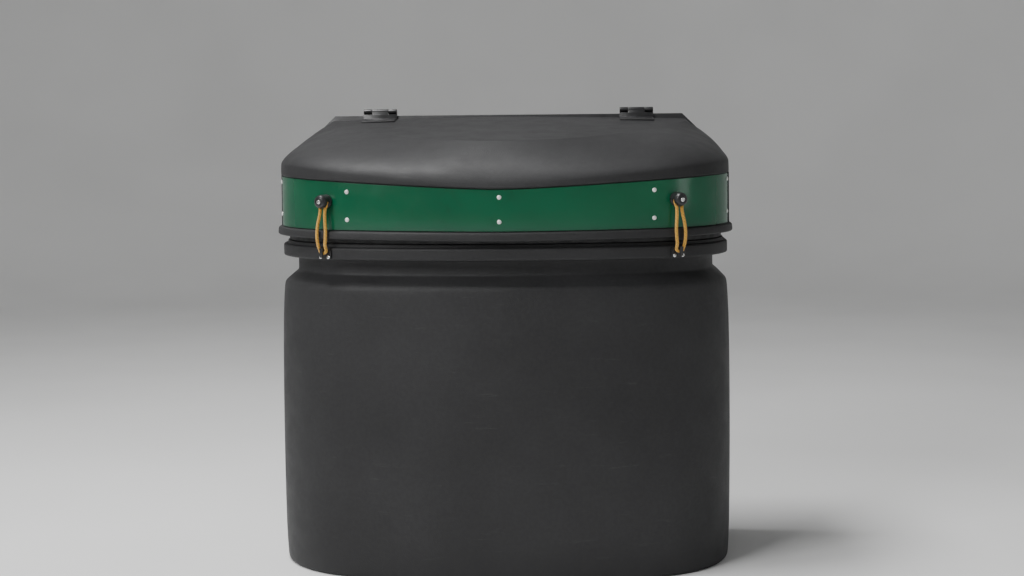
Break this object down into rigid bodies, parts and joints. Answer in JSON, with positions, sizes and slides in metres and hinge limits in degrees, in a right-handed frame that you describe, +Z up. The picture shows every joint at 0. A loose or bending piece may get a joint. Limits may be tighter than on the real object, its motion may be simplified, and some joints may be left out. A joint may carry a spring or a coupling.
{
  "type": "gas cylinder housing",
  "caption": "Moulded gas cylinder housing for a trailer tongue, with a hinged lid, painted trim band and elastic cord latches, holding cylinders, regulator and hoses.",
  "frame": {"origin": "centre of the housing's footprint, on the surface it stands on", "axes": "+Z up, -Y the bowed front with the trim band, +X the right-hand side seen from behind the front"},
  "size_m": [0.7752, 0.3928, 0.7715],
  "materials": {
    "case_plastic": "matte",
    "lid_plastic": "matte",
    "band_paint": "gloss",
    "rivet_metal": "satin",
    "cord_weave": "matte",
    "latch_black": "satin",
    "screw_metal": "polished",
    "pin_metal": "satin",
    "hinge_black": "satin",
    "panel_black": "satin",
    "bolt_metal": "satin",
    "tank_paint": "satin",
    "valve_brass": "satin",
    "valve_plastic": "satin",
    "regulator_metal": "satin",
    "lever_red": "satin",
    "zinc_metal": "satin",
    "hose_rubber": "matte",
    "seal_rubber": "matte",
    "tray_metal": "satin"
  },
  "bodies": {
    "case": {"back_panel": "panel_black", "base_tray": "tray_metal", "body_shell": "case_plastic", "gas_tank_l": "tank_paint", "gas_tank_r": "tank_paint", "hinge_frame_leaf_l": "hinge_black", "hinge_frame_leaf_r": "hinge_black", "hinge_pin_l": "pin_metal", "hinge_pin_r": "pin_metal", "hold_down_bar": "zinc_metal", "hold_down_rod": "zinc_metal", "hook_screw_la": "screw_metal", "hook_screw_lb": "screw_metal", "hook_screw_ra": "screw_metal", "hook_screw_rb": "screw_metal", "hose_nut_l": "valve_plastic", "hose_nut_r": "valve_plastic", "lashing_hook_l": "latch_black", "lashing_hook_r": "latch_black", "outlet_hose": "hose_rubber", "panel_bolt_1": "bolt_metal", "panel_bolt_2": "bolt_metal", "panel_bolt_3": "bolt_metal", "panel_bolt_4": "bolt_metal", "pigtail_hose_l": "hose_rubber", "pigtail_hose_r": "hose_rubber", "regulator_body": "regulator_metal", "regulator_bonnet": "regulator_metal", "regulator_bracket": "zinc_metal", "rim_gasket": "seal_rubber", "tank_collar_l": "tank_paint", "tank_collar_r": "tank_paint", "tank_valve_l": "valve_brass", "tank_valve_r": "valve_brass"},
    "lid": {"lid_shell": "lid_plastic", "trim_band": "band_paint", "band_rivet_01": "rivet_metal", "band_rivet_02": "rivet_metal", "band_rivet_03": "rivet_metal", "band_rivet_04": "rivet_metal", "band_rivet_05": "rivet_metal", "band_rivet_06": "rivet_metal", "band_rivet_07": "rivet_metal", "band_rivet_08": "rivet_metal", "band_rivet_09": "rivet_metal", "band_rivet_10": "rivet_metal", "hinge_lid_leaf_l": "hinge_black", "hinge_lid_leaf_r": "hinge_black", "latch_knob_l": "latch_black", "latch_knob_r": "latch_black", "knob_screw_l": "screw_metal", "knob_screw_r": "screw_metal"},
    "loop_l": {"shock_cord_l": "cord_weave"},
    "loop_r": {"shock_cord_r": "cord_weave"},
    "wheel_l": {"valve_handwheel_l": "valve_plastic"},
    "wheel_r": {"valve_handwheel_r": "valve_plastic"},
    "lever": {"changeover_lever": "lever_red"},
    "washer": {"hold_down_washer": "zinc_metal"},
    "nut": {"wing_nut": "zinc_metal"}
  },
  "joints": [
    {"name": "lid_hinge", "type": "hinge", "parent": "case", "child": "lid", "pos_m": [0, 0.1895, 0.767], "axis": [-1, 0, 0], "range_deg": [0, 100]},
    {"name": "loop_swing_l", "type": "hinge", "parent": "lid", "child": "loop_l", "pos_m": [-0.28717, -0.15106, 0.62], "axis": [-0.8916, 0.4529, 0], "range_deg": [0, 120], "deforming": ["shock_cord_l"]},
    {"name": "loop_swing_r", "type": "hinge", "parent": "lid", "child": "loop_r", "pos_m": [0.28717, -0.15106, 0.62], "axis": [-0.8916, -0.4529, 0], "range_deg": [0, 120], "deforming": ["shock_cord_r"]},
    {"name": "valve_turn_l", "type": "hinge", "parent": "case", "child": "wheel_l", "pos_m": [-0.165, 0.02, 0.5745], "axis": [0, 0, 1], "range_deg": [0, 540]},
    {"name": "valve_turn_r", "type": "hinge", "parent": "case", "child": "wheel_r", "pos_m": [0.165, 0.02, 0.5745], "axis": [0, 0, 1], "range_deg": [0, 540]},
    {"name": "changeover_turn", "type": "hinge", "parent": "case", "child": "lever", "pos_m": [0, -0.052, 0.63], "axis": [0, 0, 1], "range_deg": [0, 180]},
    {"name": "nut_rise", "type": "slide", "parent": "case", "child": "washer", "axis": [0, 0, 1], "range_m": [0, 0.028]},
    {"name": "nut_spin", "type": "hinge", "parent": "washer", "child": "nut", "pos_m": [0, 0.02, 0.6306], "axis": [0, 0, 1], "range_deg": [0, 5040]}
  ]
}
